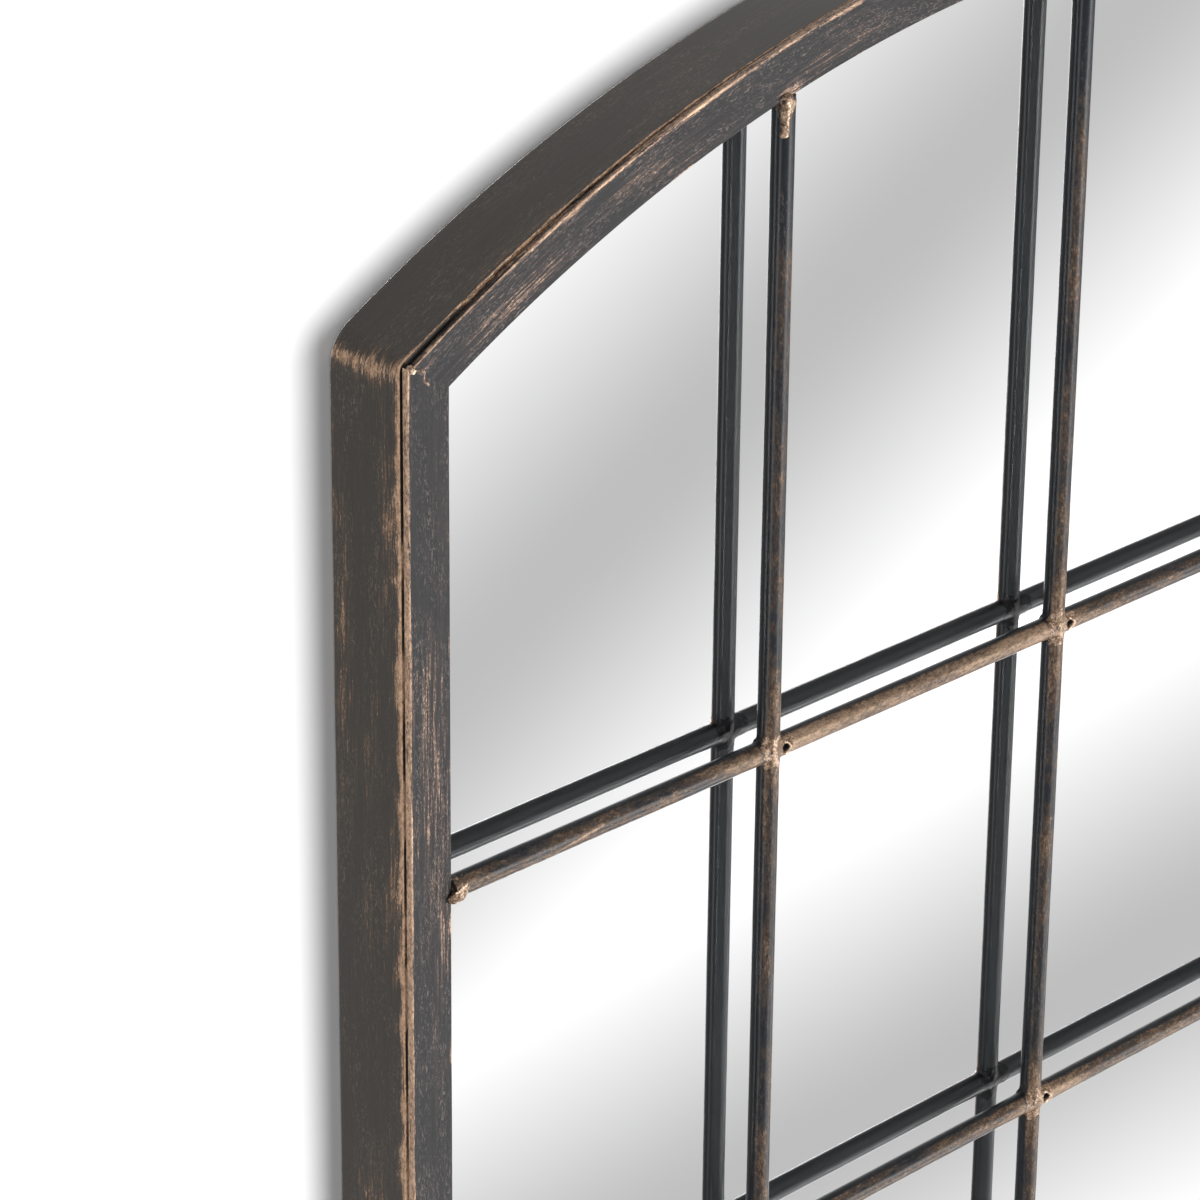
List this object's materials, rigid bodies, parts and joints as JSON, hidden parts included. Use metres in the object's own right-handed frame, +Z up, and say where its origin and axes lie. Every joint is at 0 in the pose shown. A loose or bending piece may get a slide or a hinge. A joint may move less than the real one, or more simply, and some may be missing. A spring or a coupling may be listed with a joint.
{
  "type": "arched window mirror",
  "caption": "Arched wall mirror for a garden, with a deep steel frame in black brushed with copper, welded round glazing bars, a backing board on turn buttons and keyhole hangers.",
  "frame": {"origin": "midway between the two hanging keyholes, on the wall plane at the back of the frame", "axes": "+X to the right as seen from the front, +Y from the viewer into the wall, +Z up"},
  "size_m": [0.6, 0.0354, 1],
  "materials": {
    "bronzed_frame": "satin black paint with brushed-on copper, worn along the edges",
    "glazing_bars": "satin black paint with brushed-on copper at the front",
    "weld_beads": "lumpy beads, painted black and rubbed with copper",
    "mirror": "clear silvered mirror, polished",
    "backing_board": "thin pressed fibre board, matt brown",
    "foam_strip": "black closed-cell foam strip",
    "black_hardware": "satin black paint over steel"
  },
  "bodies": {
    "mirror": {"arch_end_welds": "weld_beads", "backing_board": "backing_board", "band_seam_weld": "weld_beads", "bottom_end_welds": "weld_beads", "button_lugs": "black_hardware", "button_rivets": "black_hardware", "cross_bar_row1_col1": "glazing_bars", "cross_bar_row1_col2": "glazing_bars", "cross_bar_row1_col3": "glazing_bars", "cross_bar_row1_col4": "glazing_bars", "cross_bar_row2_col1": "glazing_bars", "cross_bar_row2_col2": "glazing_bars", "cross_bar_row2_col3": "glazing_bars", "cross_bar_row2_col4": "glazing_bars", "cross_bar_row3_col1": "glazing_bars", "cross_bar_row3_col2": "glazing_bars", "cross_bar_row3_col3": "glazing_bars", "cross_bar_row3_col4": "glazing_bars", "cross_bar_row4_col1": "glazing_bars", "cross_bar_row4_col2": "glazing_bars", "cross_bar_row4_col3": "glazing_bars", "cross_bar_row4_col4": "glazing_bars", "crossing_welds": "weld_beads", "frame_tack_welds": "weld_beads", "front_arch": "bronzed_frame", "front_bottom_rail": "bronzed_frame", "front_stile_left": "bronzed_frame", "front_stile_right": "bronzed_frame", "hanger_plate_left": "black_hardware", "hanger_plate_right": "black_hardware", "hanger_welds": "black_hardware", "lug_welds": "black_hardware", "mirror_plate": "mirror", "mitre_welds": "weld_beads", "side_band": "bronzed_frame", "spacer_arch": "foam_strip", "spacer_bottom": "foam_strip", "spacer_left": "foam_strip", "spacer_right": "foam_strip", "stile_end_welds": "weld_beads", "vertical_bar_left": "glazing_bars", "vertical_bar_middle": "glazing_bars", "vertical_bar_right": "glazing_bars"},
    "button_1": {"turn_button_1": "black_hardware"},
    "button_2": {"turn_button_2": "black_hardware"},
    "button_3": {"turn_button_3": "black_hardware"},
    "button_4": {"turn_button_4": "black_hardware"},
    "button_5": {"turn_button_5": "black_hardware"},
    "button_6": {"turn_button_6": "black_hardware"},
    "button_7": {"turn_button_7": "black_hardware"},
    "button_8": {"turn_button_8": "black_hardware"}
  },
  "joints": [
    {"name": "button_1_turn", "type": "hinge", "parent": "mirror", "child": "button_1", "pos_m": [-0.29375, -0.01255, -0.63267], "axis": [0, 1, 0], "range_deg": [-90, 90]},
    {"name": "button_2_turn", "type": "hinge", "parent": "mirror", "child": "button_2", "pos_m": [-0.29375, -0.01255, -0.22156], "axis": [0, 1, 0], "range_deg": [-90, 90]},
    {"name": "button_3_turn", "type": "hinge", "parent": "mirror", "child": "button_3", "pos_m": [0.29375, -0.01255, -0.63267], "axis": [0, 1, 0], "range_deg": [-90, 90]},
    {"name": "button_4_turn", "type": "hinge", "parent": "mirror", "child": "button_4", "pos_m": [0.29375, -0.01255, -0.22156], "axis": [0, 1, 0], "range_deg": [-90, 90]},
    {"name": "button_5_turn", "type": "hinge", "parent": "mirror", "child": "button_5", "pos_m": [-0.15361, -0.01255, 0.11845], "axis": [0, 1, 0], "range_deg": [-90, 90]},
    {"name": "button_6_turn", "type": "hinge", "parent": "mirror", "child": "button_6", "pos_m": [0.15361, -0.01255, 0.11845], "axis": [0, 1, 0], "range_deg": [-90, 90]},
    {"name": "button_7_turn", "type": "hinge", "parent": "mirror", "child": "button_7", "pos_m": [-0.149, -0.01255, -0.84898], "axis": [0, 1, 0], "range_deg": [-90, 90]},
    {"name": "button_8_turn", "type": "hinge", "parent": "mirror", "child": "button_8", "pos_m": [0.149, -0.01255, -0.84898], "axis": [0, 1, 0], "range_deg": [-90, 90]}
  ]
}
